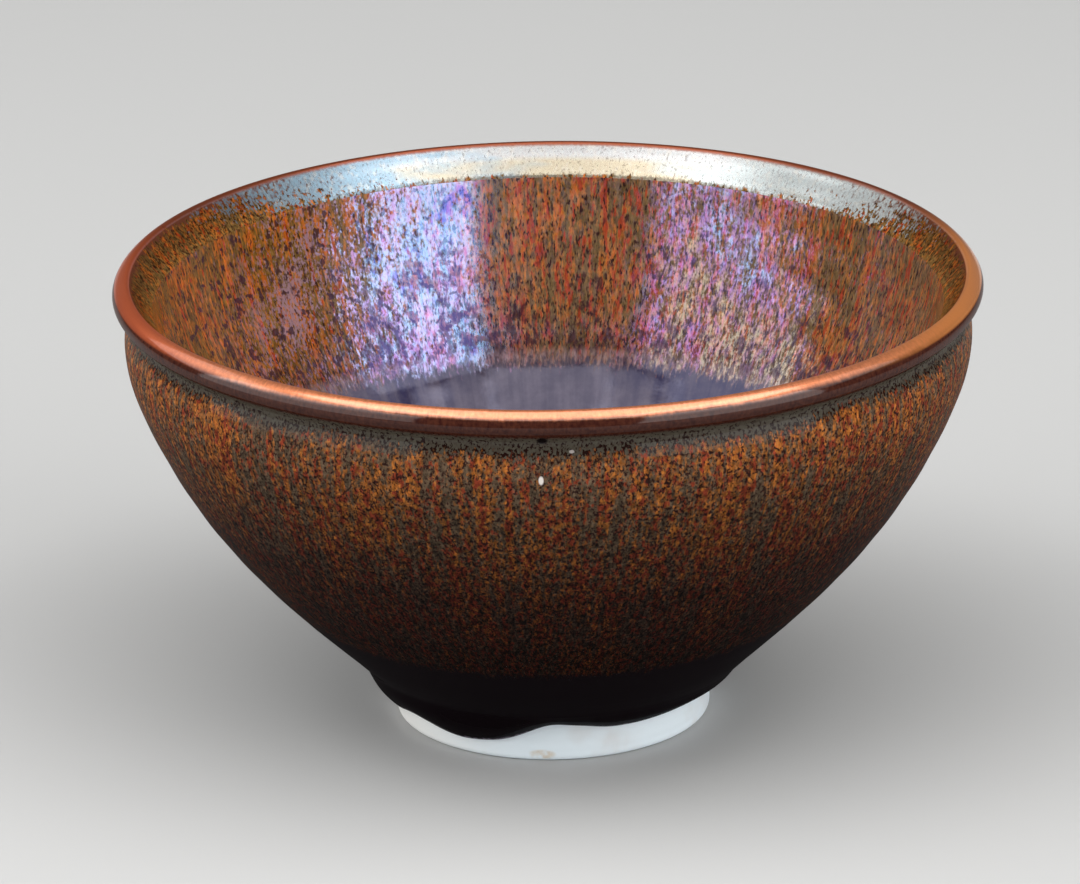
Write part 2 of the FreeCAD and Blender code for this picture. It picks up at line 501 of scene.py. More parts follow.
def use(tree, made, **inputs):
    """Places a node group in a tree, fills its sockets, and returns its outputs."""
    node = tree.nodes.new("ShaderNodeGroup")
    node.node_tree = made
    wire(tree, node, **inputs)
    return node.outputs


def new_material(name, **sockets):
    """Material with one Principled shader, its uniform sockets set, with its tree and shader."""
    material = bpy.data.materials.new(name)
    material.use_nodes = True
    tree = material.node_tree
    shader = tree.nodes["Principled BSDF"]
    wire(tree, shader, **sockets)
    return material, tree, shader


def under_lustre(tree, shader, share, **sockets):
    """Second Principled shader, a metal for the lustre, mixed over the first by a fixed share."""
    lustre = tree.nodes.new("ShaderNodeBsdfPrincipled")
    wire(tree, lustre, **sockets)
    inputs = {0: share, 1: shader.outputs[0], 2: lustre.outputs[0]}
    both = add(tree, "MixShader", inputs)
    tree.links.new(both.outputs[0], tree.nodes["Material Output"].inputs["Surface"])
    return lustre


def read_flow(tree):
    """The flow attribute as a vector, and its run as a number."""
    flow = add(tree, "Attribute", attribute_name="flow", attribute_type="GEOMETRY")
    return flow.outputs["Vector"], axes(tree, flow.outputs["Vector"])[2]


def read_spot(tree):
    """Object coordinates in millimetres."""
    here = add(tree, "TexCoord").outputs["Object"]
    inputs = {0: here, "Scale": 1 / MM}
    return add(tree, "VectorMath", inputs, operation="SCALE").outputs[0]


def mark(tree, spot, centre, reach):
    """Mask of a small mark: 1 at its centre, 0 past its reach along x, y and z."""
    off = calc_vector(tree, "DIVIDE", calc_vector(tree, "SUBTRACT", spot, centre), reach)
    return between(tree, calc_vector(tree, "LENGTH", off), 1.1, 0.6)


# ---------- tones of the glazes
PLAIN = (0.1, 0.1, 0.1, 1)   # what a tone is before a material gives its own
WHITE = (1.0, 1.0, 1.0, 1.0)

CREST = paint(232, 142, 98)
# Crest rust at the left end. At the right it is painted lighter as a painted highlight, and at the
# back darker as painted shade
CREST_LEFT, CREST_RIGHT_PAINTED_HIGHLIGHT = paint(204, 94, 52), paint(255, 158, 80)
CREST_BACK_PAINTED_SHADE = paint(128, 64, 42)
LIP_SHADE = paint(42, 14, 11)
BAND_OUT = paint(78, 74, 64)
NIGHT = paint(30, 14, 11)
BLACK = paint(10, 4, 7)
PIT = paint(14, 8, 8)
# White of the blister, also used for the painted highlight of the glint
BLISTER_WHITE_AND_GLINT = paint(214, 206, 200)
ROLL_MARGIN = paint(118, 112, 126)

BEVEL_SHADE, BEVEL_NIGHT = paint(120, 66, 48), paint(62, 46, 38)
# Painted shade on the bevel towards the ends of the bowl, where it mirrors only dark
BEVEL_PAINTED_SHADE = paint(84, 46, 32)
BEVEL_TOP, BEVEL_CREAM = paint(156, 158, 158), paint(160, 152, 132)
BEVEL_LEFT, BEVEL_RIGHT = paint(118, 142, 156), paint(154, 162, 162)
BEVEL_SPOTS = paint(176, 172, 162)
# Painted shade on the streaks that climb the bevel, darkest high up where the bevel faces the
# overhead lamp
PAINTED_SHADE_HIGH, PAINTED_SHADE_LOW = (0.42, 0.36, 0.26, 1.0), (0.75, 0.70, 0.50, 1.0)

OUTER_TONES = dict(
    Olive=paint(88, 72, 56), Ochre=paint(136, 84, 42), Orange=paint(166, 98, 42),
    Red=paint(116, 48, 30), Night=paint(44, 24, 20),
)
INNER_TONES = dict(
    Olive=paint(128, 101, 66), Ochre=paint(184, 118, 60), Orange=paint(206, 114, 54),
    Red=paint(168, 68, 38), Night=paint(66, 40, 30),
)
# How much of its colour the outside keeps, the lower it has run: partly the glaze running thicker
# and darker, partly painted shade on the lower wall
THICKENING_AND_PAINTED_SHADE = (
    (0.0, (0.98, 0.98, 0.98, 1.0)), (0.25, (0.52, 0.54, 0.54, 1.0)),
    (0.6, (0.20, 0.18, 0.20, 1.0)), (1.0, (0.10, 0.085, 0.09, 1.0)),
)
GOLDEN = (1.12, 0.92, 0.42, 1.0)
DEEPER = (0.62, 0.56, 0.60, 1.0)
ROSE = paint(178, 140, 152)
BLOTCH = paint(66, 36, 40)
# Crystal flecks round the pool, painted pale as a painted reflection
FRINGE_GLINT = paint(176, 146, 142)

# Lustre from blue over lilac to cream, and what it has between and beyond its flecks
LUSTRE_HUES = (
    (0.10, paint(84, 118, 236)), (0.28, paint(146, 200, 255)), (0.42, paint(172, 186, 255)),
    (0.56, paint(158, 116, 206)), (0.70, paint(178, 142, 172)), (0.86, paint(178, 170, 156)),
)
NO_LUSTRE = (0.0, 0.0, 0.0, 1.0)
LUSTRE_DARK = (0.01, 0.01, 0.06, 1.0)
LUSTRE_INDIGO = (0.035, 0.04, 0.22, 1.0)
LUSTRE_POOL = (0.06, 0.06, 0.09, 1.0)
LUSTRE_SHARE = 0.36

POOL, POOL_BLUE = paint(60, 50, 68), paint(48, 44, 84)
POOL_PALE = paint(114, 104, 116)
POOL_DEPTH = (0.66, 0.66, 0.67, 1.0)

PORCELAIN, PORCELAIN_WARM = paint(238, 249, 255), paint(240, 236, 228)
PORCELAIN_GREY = paint(228, 232, 234)
STAIN = paint(204, 178, 138)

# Small marks in front, as centre and reach along x, y and z. The glint is a painted highlight.
BLISTER_AT = (-1.24, -59.32, 55.44), (0.38, 1.0, 0.70)
PAINTED_GLINT_AT = (2.87, -58.8, 59.27), (0.4, 1.0, 0.25)
PIT_AT = (-1.03, -58.95, 60.95), (0.85, 1.6, 0.75)
STAIN_AT = (-1.7, -22.3, 1.0), (2.0, 2.0, 0.8)

# Heights where the finish changes, as runs along the outline from the crest
STREAKS_START = run_at(58.0, outside=True)
THICKEST = run_at(22.0, outside=True)
BLACK_START = run_at(18.8, outside=True)
POOL_EDGE = -run_at(35.9)
BEVEL_FOOT = -run_at(BEVEL_EDGE[1])

OUTSIDE_EDGE = dict(
    Crest=CREST, Shade=LIP_SHADE, Band=BAND_OUT, Night=NIGHT,
    Crest_End=1.5, Shade_End=5.1, Band_End=STREAKS_START - 0.9, Ragged=1.0,
)
INSIDE_EDGE = dict(
    Crest=CREST, Shade=BEVEL_SHADE, Night=BEVEL_NIGHT,
    Crest_End=0.35, Shade_End=0.7, Band_End=BEVEL_FOOT - 0.1, Ragged=0.35,
)


# ---------- effects shared by glazes
def make_stretched_noise():
    """Noise with its own scale across the flow and along it, per millimetre."""
    tree, given, out = group(
        "stretched_noise",
        {"Flow": None, "Across": 1.0, "Along": 0.2, "Detail": 2.0, "Shift": 0.0},
        {"Value": "Float"},
    )
    across = given["Across"]
    scale = add(tree, "CombineXYZ", {0: across, 1: across, 2: given["Along"]})
    laid = calc_vector(tree, "MULTIPLY", given["Flow"], scale.outputs[0])
    moved = calc_vector(tree, "ADD", laid, given["Shift"])
    noise = clouds(tree, moved, 1.0, given["Detail"], 0.6)
    # The noise keeps near its middle, so it is spread out to fill 0 to 1.
    wire(tree, out, Value=line_of(tree, minus(tree, noise, 0.5), 2.2, 0.5, clamp=True))
    return tree


noise_group = make_stretched_noise()


def streak(tree, flow, across, along, detail=2.0, shift=0.0):
    """Stretched noise from 0 to 1. The shift picks another stretch of it."""
    return use(
        tree, noise_group, Flow=flow, Across=across, Along=along, Detail=detail, Shift=shift
    )[0]


def make_hares_fur():
    """Colour of the speckled iron glaze: ochre streaks over olive, rust grains, dark specks.

    Warm sets how much of the streaks is ochre and orange, Rust how many grains are rust
    red, and Dark how many are nearly black. A larger Fine makes the grain smaller, and
    Draw below 1 draws it out along the flow. Mask is 1 on the dark specks.
    """
    tree, given, out = group(
        "hares_fur",
        {
            "Flow": None, "Warm": 0.5, "Rust": 0.5, "Dark": 0.3, "Fine": 1.0, "Draw": 1.0,
            "Olive": PLAIN, "Ochre": PLAIN, "Orange": PLAIN, "Red": PLAIN, "Night": PLAIN,
        },
        {"Colour": "Color", "Mask": "Float"},
    )
    flow, fine = given["Flow"], given["Fine"]
    drawn = times(tree, fine, given["Draw"])

    def grains(across, along, detail, shift):
        """Stretched noise that follows Fine and Draw."""
        across, along = times(tree, fine, across), times(tree, drawn, along)
        return streak(tree, flow, across, along, detail, shift)

    broad = streak(tree, flow, 0.10, 0.05, 2.0, 3.1)
    wide = streak(tree, flow, 0.75, 0.085, 3.0, 0.0)
    thin = streak(tree, flow, 1.6, 0.42, 2.0, 7.7)
    grain = grains(2.0, 1.4, 2.0, 13.0)
    dust = grains(2.9, 2.1, 1.0, 29.0)
    sand = grains(1.15, 0.55, 3.0, 41.0)
    mottle = grains(1.7, 1.2, 4.0, 55.0)
    # Ochre streaks stand on olive, with edges broken up by the grain
    body = total(tree, -1.225, (broad, 0.25), (wide, 0.52), (thin, 0.30))
    body = total(tree, calc(tree, "ADD", body, given["Warm"]), (grain, 0.38))
    colour = mix(tree, between(tree, body, -0.06, 0.14), given["Olive"], given["Ochre"])
    colour = mix(tree, between(tree, body, 0.13, 0.27), colour, given["Orange"])
    # Rust lies in short drawn-out patches
    ruddy = total(tree, -0.5, (wide, 0.25), (sand, 0.50), (mottle, 0.25))
    ruddy = calc(tree, "ADD", ruddy, given["Rust"])
    colour = mix(tree, between(tree, ruddy, 0.50, 0.64), colour, given["Red"])
    dark = total(tree, 0.05, (grain, -0.35), (dust, 0.65))
    dark = between(tree, calc(tree, "ADD", dark, given["Dark"]), 0.53, 0.82)
    colour = mix(tree, dark, colour, given["Night"])
    # Every tone is mottled finely, from about half to half as much again
    colour = tint(tree, colour, line_of(tree, mottle, 1.24, 0.38))
    wire(tree, out, Colour=colour, Mask=dark)
    return tree


def make_edge_break():
    """Where the glaze thins over the lip: rust at the crest, dark red, then smooth grey-green.

    Run is the distance from the crest along the outline, out or in, and the ends are
    runs too. Colour is the thin glaze's colour with its specks, Sheen is 1 on the smooth
    band, and Fur is 0 on the thin glaze and 1 where the streaks have begun.
    """
    tree, given, out = group(
        "edge_break",
        {
            "Flow": None, "Run": 0.0, "Crest": PLAIN, "Shade": PLAIN, "Band": PLAIN,
            "Night": PLAIN, "Crest End": 0.9, "Shade End": 3.6, "Band End": 8.4, "Ragged": 1.0,
        },
        {"Colour": "Color", "Sheen": "Float", "Fur": "Float"},
    )
    flow, rough = given["Flow"], given["Ragged"]
    ragged = streak(tree, flow, 1.3, 0.3, 3.0, 2.0)
    slow = streak(tree, flow, 0.09, 0.05, 2.0, 9.0)
    fine = streak(tree, flow, 2.2, 1.4, 2.0, 15.0)
    dust = streak(tree, flow, 2.6, 2.0, 1.0, 87.0)
    wander = times(tree, total(tree, -1.2, (slow, 1.2), (ragged, 1.2)), rough)

    def past(end, share):
        """How far the run, which wanders by a share of the wander, lies past an end."""
        return minus(tree, line_of(tree, wander, share, given["Run"]), given[end])

    rust = mix(tree, times(tree, fine, 0.35), given["Crest"], given["Shade"])
    deep = mix(tree, times(tree, fine, 0.05), given["Shade"], given["Crest"])
    colour = mix(tree, between(tree, past("Crest End", 0.2), -0.45, 0.45), rust, deep)
    mid = line_of(tree, line_of(tree, fine, 1.0, -0.5), rough, past("Shade End", 0.4))
    sheen = between(tree, mid, -0.5, 0.5)
    duller = mix(tree, 0.5, given["Band"], given["Shade"])
    smooth = mix(tree, times(tree, fine, rough), given["Band"], duller)
    colour = mix(tree, sheen, colour, smooth)
    far = line_of(tree, line_of(tree, fine, 2.2, -1.1), rough, past("Band End", 0.9))
    fur = between(tree, far, -0.6, 0.6)
    # Dark specks crowd towards the streaks, and only where the edge is ragged
    crowd = between(tree, far, times(tree, rough, -3.0), 0.0)
    specks = between(tree, line_of(tree, crowd, 0.32, dust), 0.70, 0.92)
    specks = times(tree, specks, between(tree, rough, 0.0, 1.0))
    colour = mix(tree, times(tree, specks, sheen), colour, given["Night"])
    shown = times(tree, sheen, rest_of(tree, fur), rest_of(tree, specks))
    wire(tree, out, Colour=colour, Sheen=shown, Fur=fur)
    return tree


def make_lustre():
    """Flecks of iron crystal that shine blue, lilac, pink or cream where they mirror a lamp.

    Amount sets how much of the surface they cover. The hue wanders slowly, and Bias
    moves it from blue towards pink and cream. Colour is black between the flecks.
    """
    tree, given, out = group(
        "lustre",
        {"Flow": None, "Amount": 0.5, "Bias": 0.0},
        {"Colour": "Color", "Mask": "Float", "Fleck": "Float"},
    )
    flow = given["Flow"]
    patch = streak(tree, flow, 0.14, 0.08, 2.0, 21.0)
    small = streak(tree, flow, 0.8, 0.5, 2.0, 33.0)
    fleck = streak(tree, flow, 2.1, 1.5, 3.0, 51.0)
    thread = streak(tree, flow, 1.1, 0.40, 3.0, 63.0)
    hue = line_of(tree, patch, 0.5, line_of(tree, small, 0.4, given["Bias"]), clamp=True)
    mask = between(tree, total(tree, given["Amount"], (thread, 0.45), (fleck, 0.55)), 0.80, 1.20)
    grouped = line_of(tree, fleck, 0.6, times(tree, patch, 0.4))
    wire(
        tree, out,
        Colour=mix(tree, mask, NO_LUSTRE, ramp(tree, hue, LUSTRE_HUES)),
        Mask=mask,
        Fleck=between(tree, grouped, 0.46, 0.66),
    )
    return tree


def make_bevel_tone():
    """Tone of the bevel inside the lip: cream in the middle of the back, cooler at both ends."""
    tree, given, out = group("bevel_tone", {"Flow": None}, {"Colour": "Color"})
    flow = given["Flow"]
    side, _, run = axes(tree, flow)
    drift = line_of(tree, streak(tree, flow, 0.07, 0.3, 2.0, 35.0), 24.0, -12.0)
    side = calc(tree, "ADD", side, drift)
    colour = mix(tree, between(tree, run, -2.2, -3.4), BEVEL_TOP, BEVEL_CREAM)
    colour = mix(tree, between(tree, side, -4.0, -26.0), colour, BEVEL_LEFT)
    colour = mix(tree, between(tree, side, 16.0, 34.0), colour, BEVEL_RIGHT)
    spotty = between(tree, streak(tree, flow, 1.1, 0.8, 2.0, 37.0), 0.5, 0.9)
    wire(tree, out, Colour=mix(tree, times(tree, spotty, 0.35), colour, BEVEL_SPOTS))
    return tree


def make_pool_haze():
    """Thick violet-grey glaze: clouded, with faint rays in towards the centre, bluer aside."""
    tree, given, out = group("pool_haze", {"Spot": None, "Flow": None}, {"Colour": "Color"})
    spot = given["Spot"]
    cloud = clouds(tree, spot, 0.15, 5.0, 0.65)
    # The rays fade before the centre, where they would be pinched together
    outward = calc_vector(tree, "MULTIPLY", spot, (1.0, 1.0, 0.0))
    outward = calc_vector(tree, "LENGTH", outward)
    rays = minus(tree, streak(tree, given["Flow"], 0.40, 0.03, 3.0, 5.0), 0.5)
    rays = times(tree, rays, between(tree, outward, 8.0, 26.0))
    hazy = between(tree, line_of(tree, cloud, 1.2, times(tree, rays, 0.30)), 0.34, 0.98)
    aside = size_of(tree, calc(tree, "ADD", axes(tree, spot)[0], 2.0))
    base = mix(tree, between(tree, aside, 6.0, 24.0), POOL, POOL_BLUE)
    wire(tree, out, Colour=mix(tree, hazy, base, POOL_PALE))
    return tree


fur_group = make_hares_fur()
pool_group = make_pool_haze()
edge_group = make_edge_break()
lustre_group = make_lustre()
bevel_group = make_bevel_tone()


# ---------- the glazes
# In them x runs to the right and y to the back, and a depth is a run down the inside.
def make_outer_glaze():
    """Outside of the bowl: grey-green band, streaks that darken downwards, then black."""
    material, tree, shader = new_material(
        "outer_iron_glaze", Specular_IOR_Level=0.0, Coat_Roughness=0.10
    )
    flow, run = read_flow(tree)
    spot = read_spot(tree)
    inputs = {"Value": run, "From Min": STREAKS_START, "From Max": THICKEST}
    down = add(tree, "MapRange", inputs).outputs[0]
    fur = use(
        tree, fur_group, Flow=flow,
        Warm=line_of(tree, down, -0.07, 0.55), Rust=line_of(tree, down, 0.06, 0.48),
        Dark=line_of(tree, down, 0.04, 0.36), Fine=line_of(tree, down, 0.15, 0.95),
        **OUTER_TONES,
    )
    # The glaze is thicker and darker the lower it has run, and lumpier, and this darkening also
    # holds painted shade
    lumpy = minus(tree, streak(tree, flow, 1.5, 0.9, 4.0, 91.0), 0.5)
    lumpy = times(tree, lumpy, line_of(tree, down, 1.5, 0.7))
    lumpy = larger(tree, line_of(tree, lumpy, 1.4, 1.0), 0.12)
    thick_and_shaded = tint(tree, ramp(tree, down, THICKENING_AND_PAINTED_SHADE), lumpy)
    edge = use(tree, edge_group, Flow=flow, Run=run, **OUTSIDE_EDGE)
    colour = mix(tree, edge["Fur"], edge["Colour"], tint(tree, fur["Colour"], thick_and_shaded))
    ragged = streak(tree, flow, 1.2, 0.6, 3.0, 77.0)
    end = between(tree, line_of(tree, ragged, 3.0, run), BLACK_START, BLACK_START + 2.2)
    colour = mix(tree, end, colour, BLACK)
    blister = mark(tree, spot, *BLISTER_AT)
    # Painted highlight: a small white glint on the glaze under the groove
    painted_glint = times(tree, mark(tree, spot, *PAINTED_GLINT_AT), 0.5)
    colour = mix(tree, larger(tree, blister, painted_glint), colour, BLISTER_WHITE_AND_GLINT)
    specks = times(tree, fur["Mask"], rest_of(tree, end))
    height = minus(tree, times(tree, blister, 3.0), specks)
    shoulder = between(tree, run, 11.0, 7.5)
    wire(
        tree, shader,
        Base_Color=colour,
        Coat_Weight=mix_value(tree, shoulder, mix_value(tree, down, 0.10, 0.06), 0.25),
        Normal=bump(tree, height, 0.25, 0.03),
    )
    return material


def make_lip_glaze():
    """Rolled lip: glaze run thin and broken to rust over the crest, and shining on the bevel."""
    material, tree, shader = new_material(
        "lip_iron_glaze", Specular_IOR_Level=0.0, Coat_Roughness=0.08, Coat_IOR=1.6
    )
    flow, run = read_flow(tree)
    spot = read_spot(tree)
    x, y, _ = axes(tree, spot)
    depth = times(tree, run, -1.0)
    bevel = use(tree, bevel_group, Flow=flow)[0]
    within = use(tree, edge_group, Flow=flow, Run=depth, Band=bevel, **INSIDE_EDGE)
    outside = use(tree, edge_group, Flow=flow, Run=run, **OUTSIDE_EDGE)
    # Only round the back does the bevel shine, where it mirrors the lamps. Towards the ends it gets
    # no shine and is painted dark brown, a painted shade for the dark it would mirror there, and
    # the streaks climb it.
    back = line_of(tree, x, 0.12, y)
    back = line_of(tree, streak(tree, flow, 1.9, 1.4, 2.0, 12.0), 26.0, back)
    back = line_of(tree, streak(tree, flow, 0.3, 0.3, 2.0, 14.0), 10.0, back)
    back = between(tree, back, 44.0, 60.0)
    fur = use(
        tree, fur_group, Flow=flow, Warm=0.50, Rust=0.44, Dark=0.36, Fine=1.0, **INNER_TONES
    )
    reach = line_of(tree, streak(tree, flow, 1.3, 0.6, 3.0, 62.0), 2.6, depth)
    reach = minus(tree, reach, mix_value(tree, back, 2.2, BEVEL_FOOT + 0.85))
    climb = between(tree, reach, 0.0, 0.9)
    colour = mix(tree, rest_of(tree, back), within["Colour"], BEVEL_PAINTED_SHADE)
    colour = mix(tree, between(tree, depth, 0.9, 0.5), colour, within["Colour"])
    # The streaks on the bevel get a painted shade, darkest towards the crest
    painted_shade = mix(tree, between(tree, depth, 3.0, BEVEL_FOOT + 0.6), PAINTED_SHADE_HIGH, PAINTED_SHADE_LOW)
    colour = mix(tree, climb, colour, tint(tree, fur["Colour"], painted_shade))
    side = between(tree, run, -0.05, 0.05)
    colour = mix(tree, side, colour, outside["Colour"])
    # The crest is rust red. Towards the front right it is painted lighter as a painted highlight,
    # and at the back darker brown as painted shade
    high = between(tree, size_of(tree, minus(tree, run, 0.6)), 1.6, 1.0)
    rust_and_painted_light = mix(tree, between(tree, x, -20.0, 50.0), CREST_LEFT, CREST_RIGHT_PAINTED_HIGHLIGHT)
    rust_and_painted_light = mix(tree, between(tree, y, 0.0, 30.0), rust_and_painted_light, CREST_BACK_PAINTED_SHADE)
    around = times(tree, between(tree, y, -46.0, -20.0), high)
    colour = mix(tree, times(tree, around, 0.9), colour, rust_and_painted_light)
    pit = mark(tree, spot, *PIT_AT)
    colour = mix(tree, pit, colour, PIT)
    shine = times(tree, within["Sheen"], back, rest_of(tree, side), rest_of(tree, climb))
    metal = larger(tree, times(tree, shine, 0.85), times(tree, high, 0.72))
    # A clear coat lies on the bead's face and on the crest in front and at the right
    face = times(tree, between(tree, run, 1.3, 1.9), between(tree, run, 3.6, 2.8))
    bright = larger(tree, between(tree, y, -10.0, -40.0), between(tree, x, 35.0, 55.0))
    crown = times(tree, high, bright)
    wire(
        tree, shader,
        Base_Color=colour,
        Roughness=line_of(tree, high, 0.06, 0.26),
        Metallic=metal,
        Coat_Weight=total(tree, 0.06, (side, 0.16), (crown, 0.60), (face, 0.20)),
        Normal=bump(tree, pit, -0.5, 0.10),
    )
    return material


def make_inner_glaze():
    """Inside wall: golden streaks under flecks of lustre, blotches low down, a ragged end."""
    material, tree, shader = new_material("inner_iron_glaze", Specular_IOR_Level=0.2)
    flow, run = read_flow(tree)
    spot = read_spot(tree)
    x = axes(tree, spot)[0]
    depth = times(tree, run, -1.0)
    down = between(tree, depth, 10.0, POOL_EDGE)
    leftward = between(tree, x, 10.0, -30.0)
    ruddy = times(tree, between(tree, x, -2.0, 8.0), between(tree, x, 30.0, 16.0))
    fur = use(
        tree, fur_group, Flow=flow,
        Warm=line_of(tree, leftward, 0.02, 0.53),
        Rust=total(tree, 0.47, (ruddy, 0.045), (leftward, -0.06)),
        Dark=line_of(tree, down, 0.04, 0.29),
        Fine=0.95, Draw=0.55, **INNER_TONES,
    )
    # The lustre is bluest left of the middle, and thins out towards both ends
    waning = times(tree, between(tree, x, -19.0, -34.0), 0.55)
    blue = times(tree, between(tree, x, 4.0, -10.0), rest_of(tree, waning))
    right_end, left_end = between(tree, x, 30.0, 46.0), between(tree, x, -16.0, -38.0)
    low_down = between(tree, depth, 14.0, 26.0)
    lustre = use(
        tree, lustre_group, Flow=flow,
        Amount=total(tree, 0.51, (right_end, -0.22), (blue, 0.15), (left_end, -0.36)),
        Bias=total(tree, 0.14, (low_down, 0.16), (blue, -0.34)),
    )
    # Dark blotches gather low down, with rounder ones at the left
    clump = streak(tree, flow, 0.12, 0.10, 1.0, 19.0)
    blot = line_of(tree, clump, 0.30, streak(tree, flow, 0.55, 0.45, 3.0, 17.0))
    blotch = times(tree, between(tree, line_of(tree, down, 0.30, blot), 0.94, 1.22), 0.80)
    round_blots = between(tree, streak(tree, flow, 0.60, 0.60, 2.0, 93.0), 0.70, 0.82)
    at_left = times(tree, between(tree, x, -6.0, -12.0), 0.85)
    blotch = larger(tree, blotch, times(tree, round_blots, at_left))
    dark = larger(tree, times(tree, fur["Mask"], 0.8), blotch)
    # The left end is golden, with rose flecks beside it, and all darkens downwards
    golden = tint(tree, fur["Colour"], GOLDEN)
    colour = mix(tree, between(tree, x, -22.0, -44.0), fur["Colour"], golden)
    rose = times(tree, between(tree, x, -15.0, -24.0), between(tree, x, -49.0, -36.0))
    colour = mix(tree, times(tree, rose, lustre["Fleck"], 0.85), colour, ROSE)
    deeper = mix(tree, between(tree, depth, 22.0, POOL_EDGE), WHITE, DEEPER)
    colour = mix(tree, blotch, tint(tree, colour, deeper), BLOTCH)
    # Crystals fringe the pool, and their pale shine is painted in as a painted reflection. The
    # pool's haze begins at a ragged end
    fringe_glint = between(tree, size_of(tree, minus(tree, depth, POOL_EDGE + 0.2)), 2.6, 0.8)
    fringe_glint = times(tree, fringe_glint, streak(tree, flow, 1.8, 0.7, 2.0, 71.0))
    colour = mix(tree, times(tree, fringe_glint, 0.9), colour, FRINGE_GLINT)
    ragged = streak(tree, flow, 1.5, 0.7, 3.0, 81.0)
    end = line_of(tree, ragged, 3.2, depth)
    end = between(tree, end, POOL_EDGE + 0.6, POOL_EDGE + 2.8)
    colour = mix(tree, end, colour, use(tree, pool_group, Spot=spot, Flow=flow)[0])
    # The lustre is dull on dark specks, less so high up in the blue, and indigo in clouds
    calm = times(tree, blue, between(tree, depth, 26.0, 14.0))
    dulled = times(tree, dark, mix_value(tree, calm, 0.9, 0.5))
    gleam = mix(tree, dulled, lustre["Colour"], LUSTRE_DARK)
    indigo = between(tree, streak(tree, flow, 0.34, 0.42, 4.0, 47.0), 0.52, 0.68)
    indigo = times(tree, indigo, between(tree, depth, 12.0, 18.0))
    gleam = mix(tree, times(tree, indigo, blue, 0.85), gleam, LUSTRE_INDIGO)
    gleam = mix(tree, end, gleam, LUSTRE_POOL)
    gloss = mix_value(tree, end, 0.16, 0.08)
    wire(tree, shader, Base_Color=colour, Roughness=gloss)
    crystal = under_lustre(tree, shader, LUSTRE_SHARE, Metallic=1.0)
    raised = bump(tree, lustre["Mask"], 0.15, 0.02)
    wire(tree, crystal, Base_Color=gleam, Roughness=gloss, Normal=raised)
    return material


def make_pool_glaze():
    """Pool in the well: smooth violet-black glaze with pale threads and clouds under its face."""
    material, tree, shader = new_material(
        "pool_iron_glaze", Specular_IOR_Level=0.0, Coat_Weight=0.7, Coat_Roughness=0.08
    )
    flow, _ = read_flow(tree)
    haze = use(tree, pool_group, Spot=read_spot(tree), Flow=flow)[0]
    wire(tree, shader, Base_Color=tint(tree, haze, POOL_DEPTH))
    return material


def make_roll_glaze():
    """Roll above the foot: glossy black, with a thin grey-violet margin at the stop line."""
    material, tree, shader = new_material(
        "roll_iron_glaze", Specular_IOR_Level=0.0, Coat_Weight=0.07, Coat_Roughness=0.08
    )
    flow, over_stop = read_flow(tree)
    margin = line_of(tree, streak(tree, flow, 0.5, 0.3, 2.0, 4.0), -0.6, over_stop)
    margin = between(tree, margin, 0.40, -0.12)
    wire(tree, shader, Base_Color=mix(tree, margin, BLACK, ROLL_MARGIN))
    return material


def make_bare_porcelain():
    """Turned porcelain: cool white, warmer at the left, with fine lines and a tan stain."""
    material, tree, shader = new_material("bare_porcelain", IOR=1.5)
    spot = read_spot(tree)
    warm = times(tree, between(tree, axes(tree, spot)[0], -4.0, -24.0), 0.8)
    colour = mix(tree, warm, PORCELAIN, PORCELAIN_WARM)
    cloud = between(tree, clouds(tree, spot, 0.12, 3.0), 0.5, 0.8)
    colour = mix(tree, cloud, colour, PORCELAIN_GREY)
    stain = between(tree, clouds(tree, spot, 0.8, 3.0), 0.28, 0.62)
    stain = times(tree, stain, mark(tree, spot, *STAIN_AT))
    colour = mix(tree, times(tree, stain, 0.6), colour, STAIN)
    # The tool's fine lines run round the foot: a noise drawn out level
    level = calc_vector(tree, "MULTIPLY", spot, (0.05, 0.05, 3.0))
    lines = clouds(tree, level, 1.0, 3.0)
    grit = clouds(tree, spot, 3.5, 2.0)
    height = calc(tree, "ADD", lines, times(tree, grit, 0.3))
    wire(
        tree, shader,
        Base_Color=colour,
        Roughness=line_of(tree, grit, 0.2, 0.38),
        Normal=bump(tree, height, 0.25, 0.04),
    )
    return material


# ---------- pieces on the frame
DRESS = (
    (outer_coat, make_outer_glaze(), "coated_porcelain", ("porcelain_body",)),
    (inner_coat, make_inner_glaze(), "coated_porcelain", ("porcelain_body",)),
    (bare_foot, make_bare_porcelain(), "coated_porcelain", ("porcelain_body",)),
    (rolled_lip, make_lip_glaze(), "rust_glaze", ("rolled_lip",)),
    (well_pool, make_pool_glaze(), "pool_glaze", ("well_glaze",)),
    (glaze_roll, make_roll_glaze(), "black_glaze", ("foot_glaze_roll",)),
)
for piece, material, slot, nodes in DRESS:
    piece.data.materials.append(material)
    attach(piece, "root")
    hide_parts(*nodes)


# ---------- floor, lamps and camera, in metres
FLOOR_HALF = 6.0
FLOOR_DROP = 0.00005   # the floor lies this far under the foot, so their faces don't meet
AIM_HEIGHT = 0.045     # the lamps are turned and placed about this point over the foot

# Lamps: turn in degrees from the front to the right, lift above the horizon, distance,
# width, height, radiance, roll about its own axis, and whether it stands upright
LAMPS = {
    "right_softbox": (50, 28.5, 1.25, 1.03, 1.18, 3.1, -9, True),
    "left_softbox": (-68, 28.5, 1.25, 1.40, 1.18, 2.4, 6, True),
    "overhead_softbox": (0, 81, 1.25, 2.0, 0.76, 2.6, 0, False),
    "high_card_left": (-62, 57.5, 1.15, 0.76, 0.30, 1.9, 0, False),
    "high_card_middle": (0, 57.5, 1.15, 0.76, 0.30, 2.4, 0, False),
    "high_card_right": (62, 57.5, 1.15, 0.76, 0.30, 1.9, 0, False),
    "side_card_left": (-113, 33, 1.25, 0.75, 0.60, 1.2, 0, False),
    "side_card_right": (92, 37, 1.25, 0.62, 0.50, 1.0, 0, False),
}


